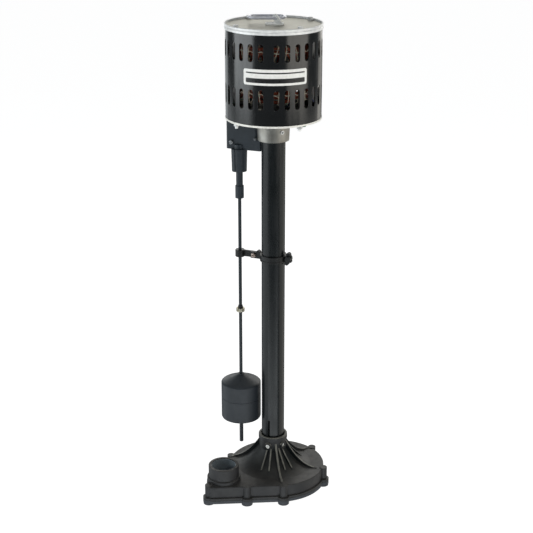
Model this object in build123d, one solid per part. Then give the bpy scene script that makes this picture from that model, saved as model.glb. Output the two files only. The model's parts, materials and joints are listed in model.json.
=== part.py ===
"""Pedestal sump pump: motor on a column, pump foot with vertical discharge, rod-and-float switch.

Units are millimetres.  +Z is up, the Z axis is the column and shaft axis, and z = 0 is the floor.
-Y is the front and +X the right-hand side.  Each function builds one sub-part, and PARTS at the end
names the file that each one is written to.
"""
import math
import os

from build123d import *

# ---------------------------------------------------------------- driving dimensions
COLUMN_R = 38.1 / 2          # 1-1/2 inch column tube
COLUMN_WALL = 1.65
COLUMN_BOTTOM_Z = 52.0
COLUMN_TOP_Z = 627.0
COLUMN_SLOT_W = 2.8
COLUMN_SLOT_TOP_Z = 119.0
SLIP = 0.05                  # radial clearance of a running or slip fit

# pump foot
DECK_R = 81.0
DECK_CENTRE = (6.5, -2.5)    # the deck's circle is set off the shaft, as a volute is
BELL_REACH_R = 72.0
BELL_FOOT_Z = 32.2           # just under the deck, so that the bell meets it at an angle
BELL_RISE = 31.8
RIB_RISE = 43.0
RIB_START_R = 21.5
LONG_RIBS = ((-78.2, 79.0), (-18.0, 79.0), (38.0, 79.0), (99.5, 75.0), (163.3, 69.5))  # angle, reach
SHORT_RIBS = (-114.0, -98.0, -64.5, -48.5, 10.0, 68.0, 131.0)
SHORT_RIB_REACH = 52.0
SHORT_RIB_LIFT = 4.6
WALL_T = 3.5
FOOT_R = 9.8
COLUMN_BOSS_R = 6.4
PLATE_Z = (3.3, 8.6)
GASKET_TOP_Z = 9.4
FLANGE_TOP_Z = 13.0
DECK_Z = 33.0
DECK_T = 4.0
DECK_EDGE_R = 1.6
FLANGE_LIP = 2.5
SCREW_POINTS = ((-107.5, -82.5), (-43.5, -86.0), (17.5, -83.5), (86.5, -21.5), (69.5, 51.5),
                (-13.0, 77.5), (-73.0, 21.0))
FRONT_SLOPE = 4.0            # degrees between the front edge and X
FRONT_CORNER_R = 11.0
DISCHARGE_X, DISCHARGE_Y = -83.0, -59.0
DISCHARGE_TOP_Z = 60.0
DISCHARGE_R = 25.5
DISCHARGE_BORE_R = 20.6
DISCHARGE_COLLAR_R = 28.0
SHOULDER_TOP_Z = 39.5
SOCKET_R = 24.4
SOCKET_TOP_Z = 89.5
SOCKET_SCREW_Z = 74.0
SOCKET_SCREW_ANGLES = (-111.0, -45.0)
HUB_BORE_R = 9.0
CHAMBER_R = 60.0
EYE_R = 17.0
STRAINER_R = 25.8

# running gear
SHAFT_R = 9.525 / 2          # 3/8 inch pump shaft
MOTOR_SHAFT_R = 12.7 / 2     # 1/2 inch motor shaft
IMPELLER_R = 46.0
IMPELLER_Z = (12.5, 26.0)
VANES, VANE_T = 6, 2.6
COUPLING_R = 10.0
COUPLING_Z = (584.0, 624.0)
SHAFT_JOIN_Z = 605.0

# motor
SHELL_R = 75.0
SHELL_T = 1.2
SHELL_Z = (644.0, 782.0)
RIM_R = 76.0
RIM_TOP_Z = 789.0
RIM_BOTTOM_Z = 780.5
RIM_GROOVE_Z = 785.2
COVER_Z = 786.0
COVER_T = 2.0
STATOR_Z = (704.0, 737.0)
STATOR_BORE_R = 37.0
STATOR_SLOTS = 24
ROTOR_R = 36.4
BOLT_CIRCLE_R = 69.3
BOLT_R = 2.4
BOLT_HEAD_R = 4.1
BOLT_HEAD_H = 5.2
BOLT_ANGLES = tuple(-55.5 + 90.0 * turn for turn in range(4))
SLOT_W = 8.2
SLOT_ROWS = ((740.0, 766.5), (668.0, 698.5))
SLOT_GROUPS = 3
SLOTS_PER_GROUP = 9
SLOT_PITCH_DEG = 12.7
SLOT_START_DEG = -87.0
BEARING_R = 14.0
UPPER_BEARING_Z = (775.0, 783.0)
LOWER_BEARING_Z = (632.0, 640.0)
BELL_Z = (641.0, 644.0)
NECK_BOTTOM_Z = 605.6
NECK_TOP_R, NECK_BOTTOM_R = 26.3, 25.0
NECK_SCREW_Z = 622.0
NECK_SCREW_ANGLE = -59.0
CORD_HOLE_X, CORD_HOLE_Y = 22.0, 52.0
GUSSET_T = 3.6
GUSSET_ANGLES = (-174.0, 55.0, 122.0)
VENT_ANGLES = (-110.0, -85.0, -20.0, 5.0, 95.0, 120.0)
GROUND_SCREW_R = 1.9
GROUND_SCREW_ANGLE = -48.0

# lifting ring: a closed wire loop hinged on its front straight
WIRE_R = 2.2
RING_AXIS_Y, RING_AXIS_Z = -6.0, 796.0
RING_CENTRE_X = -10.4
RING_BEND_R = 13.3
RING_STRAIGHT = 29.0
RIVET_POINTS = ((-9.0, -2.5), (-0.5, 2.4))
BRACKET_LEAN = 28.0
BRACKET_TURN = 40.0
HOLE_FLARE_X = 3.8           # where the wire starts to bend, the hole in the bracket opens out

# switch, rod and float: a frame turned about the column, its -X side is towards the rod
SIDE_TURN = -21.0
ROD_X = -58.4
ROD_R = 2.75
ROD_Z = (63.0, 518.0)
COUPLER_R = 7.0
COUPLER_Z = (504.0, 525.0)
PLUNGER_R = 5.5
PLUNGER_TOP_Z = 577.0
PLUNGER_BORE_TOP_Z = 590.8
SNAP_BOTTOM_Z = 617.0
NOSE_R = 1.5
NOSE_TOP_Z = 592.0
BOX_X = (-79.7, -26.6)
BOX_Y = (-4.0, 26.0)
BOX_Z = (585.0, 640.9)
BOX_MIDDLE_Z = sum(BOX_Z) / 2
BOX_WALL = 2.2
BOX_EDGE_R = 4.0
BULGE_TOP_Z = 593.8
FRONT_SCREWS = ((-70.2, 596.1, 3.4), (-29.0, 604.5, 2.0))  # x, z, head radius
LID_T = 2.0
LID_SCREW_R = 1.4
LID_SCREW_X = (BOX_X[0] + 5.0, BOX_X[1] - 5.0)
LID_POST_HALF = 3.0
SNOUT_Z = (549.0, 585.0)
SNOUT_R = (12.1, 13.1)
SNOUT_RIBS = 6
SNOUT_RIB_HALF = 4.3
SNOUT_GROOVE = 1.7
LEVER_PIVOT_X, LEVER_PIVOT_Z = -36.0, 594.0
FLOAT_R = 33.7
FLOAT_Z = (111.0, 177.5)
FLOAT_APEX_Z = 190.0
FLOAT_SEAM_Z = 149.4
FLOAT_WALL = 2.2
STOP_Z = (305.5, 312.0)
STOP_SCREW_ANGLE = -20.0
LOWER_STOP_Z = (104.0, 110.7)
CLAMP_Z = (404.0, 414.5)
CLAMP_BAND_T = 1.9
CLAMP_BEAD_H = 2.2
CLAMP_MIDDLE_Z = 409.25
CLAMP_EAR_X = (-38.5, 32.0)
CLAMP_EAR_T = 3.0
CLAMP_TAB_H = 22.0
CLAMP_SCREW_X = -33.0
CLAMP_BOLT_X = 27.5
CLAMP_GAP = 0.8
GUIDE_Z = (403.5, 415.5)
GUIDE_R = 7.8

BOTTOM = (Align.CENTER, Align.CENTER, Align.MIN)


# ---------------------------------------------------------------- helpers
def disc(radius, z0, z1):
    """Upright cylinder between two heights."""
    return Pos(0, 0, z0) * Cylinder(radius, z1 - z0, align=BOTTOM)


def tube(outer, inner, z0, z1):
    """Upright tube between two heights."""
    return disc(outer, z0, z1) - disc(inner, z0 - 1, z1 + 1)


def block(x, y, z):
    """Box from three (low, high) pairs."""
    size = (x[1] - x[0], y[1] - y[0], z[1] - z[0])
    return Pos(x[0], y[0], z[0]) * Box(*size, align=(Align.MIN, Align.MIN, Align.MIN))


def spin(points):
    """Solid of revolution about Z from (radius, height) corners."""
    outline = Polyline([(r, 0, z) for r, z in points], close=True)
    return revolve(make_face(outline.edges()), Axis.Z)


def edges_at(shape, height):
    """Edges that lie at one height."""
    return shape.edges().filter_by_position(Axis.Z, height - 0.1, height + 0.1)


def at_angle(angle, shape):
    """Turn a shape about the column axis."""
    return Rot(0, 0, angle) * shape


def hexagon(across_flats, z0, z1):
    """Upright hexagonal prism."""
    flat = RegularPolygon(across_flats / 2, 6, major_radius=False)
    return Pos(0, 0, z0) * extrude(flat, z1 - z0)


def along_y(shape):
    """Lay an upright shape down so that its +Z points to -Y."""
    return Rot(90, 0, 0) * shape


def side(shape):
    """Place a shape built in the switch frame."""
    return at_angle(SIDE_TURN, shape)


def group(shapes):
    """Several separate solids in one node."""
    return Compound(children=list(shapes))


# ---------------------------------------------------------------- pump foot
def point_on(centre, radius, angle):
    """Point on a circle, angle in degrees."""
    turn = math.radians(angle)
    return (centre[0] + radius * math.cos(turn), centre[1] + radius * math.sin(turn))


def arc(centre, radius, start, end):
    """Arc between two angles in degrees."""
    angles = (start, (start + end) / 2, end)
    return ThreePointArc(*[point_on(centre, radius, angle) for angle in angles])


def foot_outline():
    """Plan of the deck: a circle, and an extension to the front left that carries the discharge."""
    axis, spout = DECK_CENTRE, (DISCHARGE_X, DISCHARGE_Y)
    to_spout = (spout[0] - axis[0], spout[1] - axis[1])
    spout_r = DISCHARGE_COLLAR_R + 0.5
    heading = math.degrees(math.atan2(to_spout[1], to_spout[0])) + 360.0
    tangent = heading - math.degrees(math.acos((DECK_R - spout_r) / math.hypot(*to_spout)))
    front_angle = FRONT_SLOPE - 90.0
    front = point_on(axis, DECK_R, front_angle)
    left = point_on(spout, spout_r, 180.0)
    corner = (left[0], front[1] - (front[0] - left[0]) * math.tan(math.radians(FRONT_SLOPE)))
    round_back = arc(axis, DECK_R, front_angle, tangent)
    link = Line(point_on(axis, DECK_R, tangent), point_on(spout, spout_r, tangent))
    round_left = arc(spout, spout_r, tangent, 180.0)
    straight = Polyline(left, corner, front)
    edges = round_back.edges() + link.edges() + round_left.edges() + straight.edges()
    plan = make_face(edges)
    return fillet(plan.vertices().sort_by(Axis.Y)[0], FRONT_CORNER_R)


def at_screws(shape):
    """One copy of a shape at each foot screw."""
    return [Pos(x, y, 0) * shape for x, y in SCREW_POINTS]


def flange_plan():
    """Outline of the flange, gasket and base plate, with an ear at each screw."""
    plan = offset(foot_outline(), FLANGE_LIP)
    for x, y in SCREW_POINTS:
        plan += Pos(x, y) * Circle(FOOT_R)
    return plan


def slab(plan, z0, z1):
    """Extrude a plan between two heights."""
    return extrude(Pos(0, 0, z0) * plan, z1 - z0, dir=(0, 0, 1))


def bell_height(radius):
    """Height of the deck between its ribs."""
    reach = max(0.0, (BELL_REACH_R - radius) / (BELL_REACH_R - 24.0))
    return BELL_FOOT_Z + BELL_RISE * reach ** 2.0


def rib_height(radius):
    """Height of a long rib's crest."""
    reach = max(0.0, (80.0 - radius) / (80.0 - 24.0))
    return DECK_Z + 1.0 + RIB_RISE * reach ** 2.2


def crest(height, radii):
    """Smooth curve through a height formula."""
    return Spline([(r, 0, height(r)) for r in radii])


def bell():
    """Solid hump of the deck under the column socket."""
    radii = [22.0 + (BELL_REACH_R - 22.0) * step / 5 for step in range(6)]
    top = crest(bell_height, radii)
    inner, outer = (radii[0], 0, DECK_Z - DECK_T), (radii[-1], 0, DECK_Z - DECK_T)
    sides = Polyline(top @ 0, inner, outer, top @ 1)
    return revolve(make_face(top.edges() + sides.edges()), Axis.Z)


def low_rib_height(radius):
    """Height of a short rib's crest, a little proud of the bell and fading into it."""
    along = (radius - RIB_START_R) / (SHORT_RIB_REACH - RIB_START_R)
    return bell_height(radius) + SHORT_RIB_LIFT * (1.0 - along ** 4)


def rib(angle, reach, height, thickness):
    """Radial web from the socket to a given radius."""
    steps = 6
    radii = [RIB_START_R + (reach - RIB_START_R) * step / steps for step in range(steps + 1)]
    top = crest(height, radii)
    inner, outer = (radii[0], 0, DECK_Z - 2.0), (radii[-1], 0, DECK_Z - 2.0)
    sides = Polyline(top @ 0, inner, outer, top @ 1)
    web = extrude(make_face(top.edges() + sides.edges()), thickness / 2, both=True)
    return at_angle(angle, web)


def volute_casing():
    """Pump casing: deck, skirt, flange, column socket, ribs, discharge boss and impeller chamber."""
    plan = foot_outline()
    skirt = slab(plan, GASKET_TOP_Z, DECK_Z)
    skirt = fillet(skirt.faces().sort_by(Axis.Z)[-1].edges(), DECK_EDGE_R)
    body = skirt + slab(flange_plan(), GASKET_TOP_Z, FLANGE_TOP_Z)
    body -= slab(offset(plan, -WALL_T), GASKET_TOP_Z - 1, DECK_Z - DECK_T)
    body += group(at_screws(disc(COLUMN_BOSS_R, GASKET_TOP_Z, DECK_Z + 1.0)))
    chamber = tube(CHAMBER_R + 3.0, CHAMBER_R, GASKET_TOP_Z, DECK_Z - DECK_T + 0.5)
    outlet = at_angle(-128.0, block((20.0, 80.0), (-19.0, 19.0), (GASKET_TOP_Z - 1, DECK_Z - DECK_T)))
    body += chamber - outlet
    body += bell()
    for angle, reach in LONG_RIBS:
        body += rib(angle, reach, rib_height, 3.2)
    for angle in SHORT_RIBS:
        body += rib(angle, SHORT_RIB_REACH, low_rib_height, 2.4)
    body += disc(SOCKET_R - 1.2, DECK_Z - DECK_T, SOCKET_TOP_Z - 9.0)
    collar = disc(SOCKET_R, SOCKET_TOP_Z - 9.0, SOCKET_TOP_Z)
    body += fillet(collar.edges().filter_by(GeomType.CIRCLE), 1.2)
    pad = Rot(0, 90, 0) * disc(6.2, SOCKET_R - 4.0, SOCKET_R + 1.4)
    for angle in SOCKET_SCREW_ANGLES:
        body += at_angle(angle, Pos(0, 0, SOCKET_SCREW_Z) * pad)
    shoulder = disc(DISCHARGE_COLLAR_R, DECK_Z - DECK_T, SHOULDER_TOP_Z)
    shoulder = fillet(edges_at(shoulder, SHOULDER_TOP_Z), 1.6)
    spout = disc(DISCHARGE_R, DECK_Z - DECK_T, DISCHARGE_TOP_Z)
    spout = fillet(edges_at(spout, DISCHARGE_TOP_Z), 1.0)
    body += Pos(DISCHARGE_X, DISCHARGE_Y, 0) * (shoulder + spout)
    body -= Pos(DISCHARGE_X, DISCHARGE_Y, 0) * disc(DISCHARGE_BORE_R, GASKET_TOP_Z, DISCHARGE_TOP_Z + 1)
    body -= disc(COLUMN_R + SLIP, COLUMN_BOTTOM_Z, SOCKET_TOP_Z + 1)
    body -= disc(HUB_BORE_R, DECK_Z - DECK_T - 1, COLUMN_BOTTOM_Z + 1)
    body -= disc(COLUMN_R + 1.6, SOCKET_TOP_Z - 3.0, SOCKET_TOP_Z + 1)
    screw_hole = Rot(0, 90, 0) * disc(3.5, COLUMN_R, SOCKET_R + 6.0)
    for angle in SOCKET_SCREW_ANGLES:
        body -= at_angle(angle, Pos(0, 0, SOCKET_SCREW_Z) * screw_hole)
    for hole in at_screws(disc(2.0, GASKET_TOP_Z - 1, 24.0)):
        body -= hole
    return body


def volute_gasket():
    """Flat gasket that follows the flange, with a screw hole in each ear."""
    gasket = slab(flange_plan(), PLATE_Z[1], GASKET_TOP_Z)
    gasket -= slab(offset(foot_outline(), -WALL_T), PLATE_Z[1] - 1, GASKET_TOP_Z + 1)
    for hole in at_screws(disc(2.0, PLATE_Z[1] - 1, GASKET_TOP_Z + 1)):
        gasket -= hole
    return gasket


def base_plate():
    """Bottom cover with the suction eye, the strainer seat and a foot at each screw."""
    plate = slab(flange_plan(), *PLATE_Z)
    for foot in at_screws(disc(FOOT_R - 0.5, 0, PLATE_Z[0] + 1.0)):
        plate += foot
    plate -= disc(EYE_R, PLATE_Z[0] - 1, PLATE_Z[1] + 1)
    plate -= disc(STRAINER_R + SLIP, PLATE_Z[0] - 1, PLATE_Z[0] + 2.0)
    for seat in at_screws(disc(4.6, -1, 4.2) + disc(2.0, 4.0, PLATE_Z[1] + 1)):
        plate -= seat
    return plate


def suction_strainer():
    """Round screen under the suction eye."""
    screen = disc(STRAINER_R, PLATE_Z[0] + 0.1, PLATE_Z[0] + 1.9)
    for circle_r, count in ((5.0, 4), (10.5, 9), (15.5, 14)):
        for turn in range(count):
            hole = Pos(circle_r, 0, 0) * disc(1.9, 0, PLATE_Z[1])
            screen -= at_angle(360.0 * turn / count, hole)
    return screen


def base_screws():
    """Seven pan-head screws, driven up through the feet."""
    recess = block((-3, 3), (-0.5, 0.5), (-1, 1.6)) + block((-0.5, 0.5), (-3, 3), (-1, 1.6))
    screw = disc(4.0, 0.9, 4.2) + disc(2.0, 4.2, 22.0) - recess
    return group(at_screws(screw))


def socket_set_screw():
    """Two headless screws that clamp the column in its socket; the second sits deep."""
    screws = []
    for angle, end in zip(SOCKET_SCREW_ANGLES, (SOCKET_R + 0.9, SOCKET_R - 1.4)):
        screw = disc(3.45, COLUMN_R + 0.1, end) - hexagon(3.4, end - 2.6, end + 2)
        screws.append(at_angle(angle, Pos(0, 0, SOCKET_SCREW_Z) * (Rot(0, 90, 0) * screw)))
    return group(screws)


def impeller():
    """Semi-open impeller: back shroud, hub and curved vanes."""
    low, high = IMPELLER_Z
    root_r, tip_r = 8.0, IMPELLER_R - 1.0
    wheel = disc(IMPELLER_R, high - 2.5, high) + disc(9.5, low, high)
    near = ThreePointArc((root_r, 0), (27.0, 9.5), (tip_r, -2.0))
    far = ThreePointArc((root_r, VANE_T), (27.0, 9.5 + VANE_T), (tip_r, VANE_T - 2.0))
    edges = [near, far, Line(near @ 0, far @ 0), Line(near @ 1, far @ 1)]
    vane = slab(make_face([line.edge() for line in edges]), low, high - 1.0)
    for turn in range(VANES):
        wheel += at_angle(360.0 / VANES * turn, vane)
    return wheel - disc(SHAFT_R, low - 1, high + 1)


def impeller_nut():
    """Nut under the impeller."""
    return hexagon(14.0, 7.6, IMPELLER_Z[0]) - disc(SHAFT_R, 6, 14)


def shaft_seal():
    """Rubber lip seal above the impeller chamber."""
    low = DECK_Z - DECK_T
    return spin([(SHAFT_R + SLIP, low), (HUB_BORE_R, low), (HUB_BORE_R, low + 4.0), (7.2, low + 4.0),
                 (SHAFT_R + SLIP, low + 1.6)])


def lower_bushing():
    """Bronze bushing in the casing hub."""
    return tube(HUB_BORE_R, SHAFT_R + SLIP, 34.0, COLUMN_BOTTOM_Z)


# ---------------------------------------------------------------- column and shafts
def column_tube():
    """Column tube with the drain slot at its foot."""
    pipe = tube(COLUMN_R, COLUMN_R - COLUMN_WALL, COLUMN_BOTTOM_Z, COLUMN_TOP_Z)
    half_width = COLUMN_SLOT_W / 2
    slot = block((10.0, 30.0), (-half_width, half_width), (SOCKET_TOP_Z - 2.0, COLUMN_SLOT_TOP_Z))
    slot += Pos(0, 0, COLUMN_SLOT_TOP_Z) * (Rot(0, 90, 0) * disc(half_width, 10.0, 30.0))
    return pipe - at_angle(SOCKET_SCREW_ANGLES[0], slot)


def column_bushing():
    """Spoked shaft guide half way up the column."""
    z0, z1 = 330.0, 345.0
    guide = tube(COLUMN_R - COLUMN_WALL, 14.6, z0, z1) + tube(8.0, SHAFT_R + SLIP, z0, z1)
    for turn in range(3):
        guide += at_angle(120.0 * turn, block((7.0, 15.2), (-1.5, 1.5), (z0, z1)))
    return guide


def pump_shaft():
    """Long shaft from the coupling to the impeller nut."""
    return disc(SHAFT_R, 6.6, SHAFT_JOIN_Z - 0.5)


def motor_shaft():
    """Motor shaft."""
    return disc(MOTOR_SHAFT_R, SHAFT_JOIN_Z, UPPER_BEARING_Z[1])


def shaft_coupling():
    """Stepped sleeve that joins the two shafts."""
    low, high = COUPLING_Z
    sleeve = disc(COUPLING_R, low, high) - disc(SHAFT_R, low - 1, SHAFT_JOIN_Z)
    sleeve -= disc(MOTOR_SHAFT_R, SHAFT_JOIN_Z - 0.2, high + 1)
    for height in (594.0, 614.0):
        sleeve -= Pos(0, 0, height) * (Rot(0, 90, 0) * disc(2.5, 0, 14))
    return sleeve


def coupling_set_screws():
    """Two headless screws in the coupling."""
    lower = Pos(0, 0, 594.0) * (Rot(0, 90, 0) * disc(2.5, SHAFT_R, COUPLING_R - 0.4))
    upper = Pos(0, 0, 614.0) * (Rot(0, 90, 0) * disc(2.5, MOTOR_SHAFT_R, COUPLING_R - 0.4))
    return group([lower, upper])


# ---------------------------------------------------------------- motor
def at_bolts(shape):
    """One copy of a shape at each through bolt."""
    return [at_angle(angle, Pos(BOLT_CIRCLE_R, 0, 0) * shape) for angle in BOLT_ANGLES]


def at_ground_screw(shape):
    """Move an upright shape onto the earth screw's axis."""
    return at_angle(GROUND_SCREW_ANGLE, Pos(BOLT_CIRCLE_R - 1.3, 0, 0) * shape)


def shell_slots():
    """Cutters for the two rows of vent slots, in three groups round the shell."""
    cutters = []
    for bottom, top in SLOT_ROWS:
        window = Plane((SHELL_R - 6.0, 0, (bottom + top) / 2), x_dir=(0, 1, 0), z_dir=(1, 0, 0))
        cutter = extrude(window * SlotOverall(top - bottom, SLOT_W, rotation=90), 12.0)
        for cluster in range(SLOT_GROUPS):
            for place in range(SLOTS_PER_GROUP):
                angle = SLOT_START_DEG + 360.0 / SLOT_GROUPS * cluster + SLOT_PITCH_DEG * place
                cutters.append(at_angle(angle, cutter))
    return cutters


def motor_shell():
    """Rolled steel shell with its vent slots."""
    return tube(SHELL_R, SHELL_R - SHELL_T, *SHELL_Z) - shell_slots()


def motor_top_cover():
    """Top end bell: recessed plate, rolled rim and the upper bearing boss."""
    low_z = COVER_Z - COVER_T
    spigot_r, groove_r = SHELL_R - SHELL_T - 0.1, RIM_R - 0.8
    underside = [(0, low_z), (BEARING_R, low_z), (BEARING_R, UPPER_BEARING_Z[0]), (17.5, UPPER_BEARING_Z[0]),
                 (18.5, low_z), (spigot_r, low_z), (spigot_r, SHELL_Z[1]), (SHELL_R, SHELL_Z[1])]
    rim = [(SHELL_R, RIM_BOTTOM_Z), (RIM_R, RIM_BOTTOM_Z), (RIM_R, RIM_GROOVE_Z - 1.3),
           (groove_r, RIM_GROOVE_Z - 0.4), (groove_r, RIM_GROOVE_Z + 0.4), (RIM_R, RIM_GROOVE_Z + 1.3),
           (RIM_R, RIM_TOP_Z), (RIM_R - 2.3, RIM_TOP_Z)]
    cover = spin(underside + rim + [(RIM_R - 2.5, COVER_Z), (0, COVER_Z)])
    cover = fillet(edges_at(cover, RIM_TOP_Z), 0.9)
    for hole in at_bolts(disc(BOLT_R, low_z - 5, COVER_Z + 5)):
        cover -= hole
    for x, y in RIVET_POINTS:
        cover -= Pos(x, y, 0) * disc(1.5, low_z - 1, COVER_Z + 1)
    return cover


def neck_profile():
    """Outside corners of the neck below the lower end bell."""
    return [(0, NECK_BOTTOM_Z), (NECK_BOTTOM_R, NECK_BOTTOM_Z), (NECK_TOP_R, BELL_Z[0] - 2.0),
            (NECK_TOP_R, BELL_Z[1]), (0, BELL_Z[1])]


def lower_end_bell():
    """Die-cast lower end bell with the neck that takes the column."""
    casting = spin(neck_profile()) + disc(RIM_R - 0.4, *BELL_Z)
    casting += tube(SHELL_R - SHELL_T - 0.1, SHELL_R - SHELL_T - 4.0, BELL_Z[0], BELL_Z[1] + 5.0)
    web_top = BELL_Z[0] + 1.0
    corners = [(22.0, 0, 622.0), (25.5, 0, 624.0), (31.0, 0, web_top), (22.0, 0, web_top)]
    gusset = extrude(make_face(Polyline(corners, close=True).edges()), GUSSET_T / 2, both=True)
    for angle in GUSSET_ANGLES:
        casting += at_angle(angle, gusset)
    casting -= disc(COLUMN_R + SLIP, NECK_BOTTOM_Z - 1, COLUMN_TOP_Z)
    casting -= disc(BEARING_R, LOWER_BEARING_Z[0], BELL_Z[1] + 1)
    casting -= disc(9.0, COLUMN_TOP_Z - 1, LOWER_BEARING_Z[0] + 1)
    for hole in at_bolts(disc(BOLT_R, BELL_Z[0] - 1, BELL_Z[1] + 9)):
        casting -= hole
    casting -= at_angle(NECK_SCREW_ANGLE, Pos(0, 0, NECK_SCREW_Z) * (Rot(0, 90, 0) * disc(3.0, 10, 40)))
    casting -= Pos(CORD_HOLE_X, CORD_HOLE_Y, 0) * disc(7.5, BELL_Z[0] - 1, BELL_Z[1] + 1)
    vent = Pos(49.0, 0, BELL_Z[0] - 1) * extrude(SlotOverall(22.0, 8.0, rotation=90), 6.0)
    for angle in VENT_ANGLES:
        casting -= at_angle(angle, vent)
    casting -= at_ground_screw(disc(GROUND_SCREW_R, BELL_Z[0] - 1, BELL_Z[1] + 9))
    return casting


def neck_set_screw():
    """Headless screw that clamps the column in the neck."""
    screw = disc(3.0, COLUMN_R + 0.1, NECK_TOP_R + 1.2) - hexagon(3.0, NECK_TOP_R - 1.2, NECK_TOP_R + 3)
    return at_angle(NECK_SCREW_ANGLE, Pos(0, 0, NECK_SCREW_Z) * (Rot(0, 90, 0) * screw))


def through_bolts():
    """Four long bolts that hold the motor together."""
    top = COVER_Z + BOLT_HEAD_H
    head = disc(BOLT_HEAD_R, COVER_Z, top)
    head = fillet(edges_at(head, top), 1.3)
    head -= block((-5, 5), (-0.6, 0.6), (top - 1.2, top + 1))
    return group(at_bolts(head + disc(BOLT_R, 633.0, COVER_Z + 0.5)))


def through_bolt_nuts():
    """Nuts under the lower end bell."""
    return group(at_bolts(hexagon(8.0, 636.6, BELL_Z[0]) - disc(BOLT_R, 630, 650)))


def ground_screw():
    """Green-coded earth screw beside the front right bolt."""
    screw = disc(3.6, BELL_Z[0] - 2.6, BELL_Z[0]) + disc(GROUND_SCREW_R, BELL_Z[0] - 0.5, BELL_Z[1] + 4.0)
    screw -= block((-4, 4), (-0.5, 0.5), (BELL_Z[0] - 4, BELL_Z[0] - 1.4))
    return at_ground_screw(screw)


def stator_core():
    """Laminated stator with slots open to its bore."""
    core = tube(SHELL_R - SHELL_T, STATOR_BORE_R, *STATOR_Z)
    for hole in at_bolts(disc(BOLT_R, STATOR_Z[0] - 1, STATOR_Z[1] + 1)):
        core -= hole
    slot = block((36.0, 56.0), (-2.4, 2.4), (STATOR_Z[0] - 1, STATOR_Z[1] + 1))
    for turn in range(STATOR_SLOTS):
        core -= at_angle(360.0 / STATOR_SLOTS * turn, slot)
    return core


def end_turns(z0, z1):
    """Rounded ring of winding ends."""
    ring = tube(60.0, 43.0, z0, z1)
    return fillet(ring.edges(), 5.0)


def stator_windings():
    """Winding ends above and below the core."""
    return group([end_turns(STATOR_Z[1], 762.0), end_turns(673.0, STATOR_Z[0])])


def slot_wedges():
    """Copper and insulation that fill the stator slots."""
    wedge = block((40.0, 56.0), (-2.4, 2.4), STATOR_Z)
    return group([at_angle(360.0 / STATOR_SLOTS * turn, wedge) for turn in range(STATOR_SLOTS)])


def thermal_protector():
    """Overload protector, standing on the upper winding ends."""
    return at_angle(-100.0, Pos(52.0, 0, 0) * disc(7.0, 762.0, 771.0))


def rotor():
    """Squirrel-cage rotor."""
    return tube(ROTOR_R, MOTOR_SHAFT_R, STATOR_Z[0] - 4.0, STATOR_Z[1] + 4.0)


def cooling_fan():
    """Fan below the top cover."""
    z0, z1 = 764.0, 773.5
    fan = disc(11.0, z0, z1) + disc(41.0, z0, z0 + 1.6)
    for turn in range(8):
        fan += at_angle(45.0 * turn, block((9.0, 40.0), (-0.9, 0.9), (z0, z1)))
    return fan - disc(MOTOR_SHAFT_R, z0 - 1, z1 + 1)


def upper_bearing():
    """Sealed ball bearing in the top cover."""
    return tube(BEARING_R, MOTOR_SHAFT_R + SLIP, *UPPER_BEARING_Z)


def lower_bearing():
    """Sealed ball bearing in the lower end bell."""
    return tube(BEARING_R, MOTOR_SHAFT_R + SLIP, *LOWER_BEARING_Z)


def cord_grommet():
    """Rubber bushing in the hole for the power cord."""
    ring = spin([(4.2, 638.2), (9.5, 638.2), (9.5, BELL_Z[0]), (7.5, BELL_Z[0]), (7.5, BELL_Z[1]),
                 (9.2, BELL_Z[1]), (9.2, 646.2), (4.2, 646.2)])
    return Pos(CORD_HOLE_X, CORD_HOLE_Y, 0) * ring


# ---------------------------------------------------------------- lifting ring
def lifting_ring():
    """Closed wire loop that lies level above the cover."""
    width = 2 * RING_BEND_R
    half = RING_STRAIGHT / 2
    front = Line((-half, 0), (half, 0))
    right = ThreePointArc((half, 0), (half + RING_BEND_R, RING_BEND_R), (half, width))
    back = Line((half, width), (-half, width))
    left = ThreePointArc((-half, width), (-half - RING_BEND_R, RING_BEND_R), (-half, 0))
    path = Wire([front.edge(), right.edge(), back.edge(), left.edge()])
    section = Plane(origin=(0, 0, 0), z_dir=(1, 0, 0)) * Circle(WIRE_R)
    return Pos(RING_CENTRE_X, RING_AXIS_Y, RING_AXIS_Z) * sweep(section, path)


def ring_bracket():
    """Riveted foot with a leaning eye for the ring."""
    foot = block((-13.0, 15.0), (-12.0, 6.0), (COVER_Z, COVER_Z + 2.0))
    foot = fillet(foot.edges().filter_by(Axis.Z), 3.0)
    eye = Plane.YZ * (Pos(0, 12.5) * Circle(6.2) + Pos(0, 6.0) * Rectangle(12.4, 13.0))
    leg = extrude(eye, 1.2, both=True)
    leg = Rot(0, -BRACKET_LEAN, 0) * (Rot(0, 0, BRACKET_TURN) * leg)
    leg = Pos(9.4, RING_AXIS_Y, COVER_Z - 0.6) * leg
    leg -= block((-30, 40), (-40, 40), (COVER_Z - 8, COVER_Z))
    bracket = foot + leg
    hole = disc(WIRE_R + 0.08, -30, 40)
    flare = Pos(0, 0, HOLE_FLARE_X) * Cone(WIRE_R + 0.08, WIRE_R + 1.5, 6.0, align=BOTTOM)
    bracket -= Pos(0, RING_AXIS_Y, RING_AXIS_Z) * (Rot(0, 90, 0) * (hole + flare))
    for x, y in RIVET_POINTS:
        bracket -= Pos(x, y, 0) * disc(1.5, COVER_Z - 1, COVER_Z + 3)
    return bracket


def bracket_rivets():
    """Two domed rivets."""
    rivet = disc(1.5, COVER_Z - COVER_T, COVER_Z + 2.0) + disc(2.6, COVER_Z + 2.0, COVER_Z + 3.2)
    rivet = fillet(edges_at(rivet, COVER_Z + 3.2), 0.8)
    return group([Pos(x, y, 0) * rivet for x, y in RIVET_POINTS])


# ---------------------------------------------------------------- switch
def at_rod(shape):
    """Move an upright shape onto the rod axis."""
    return Pos(ROD_X, 0, 0) * shape


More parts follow.
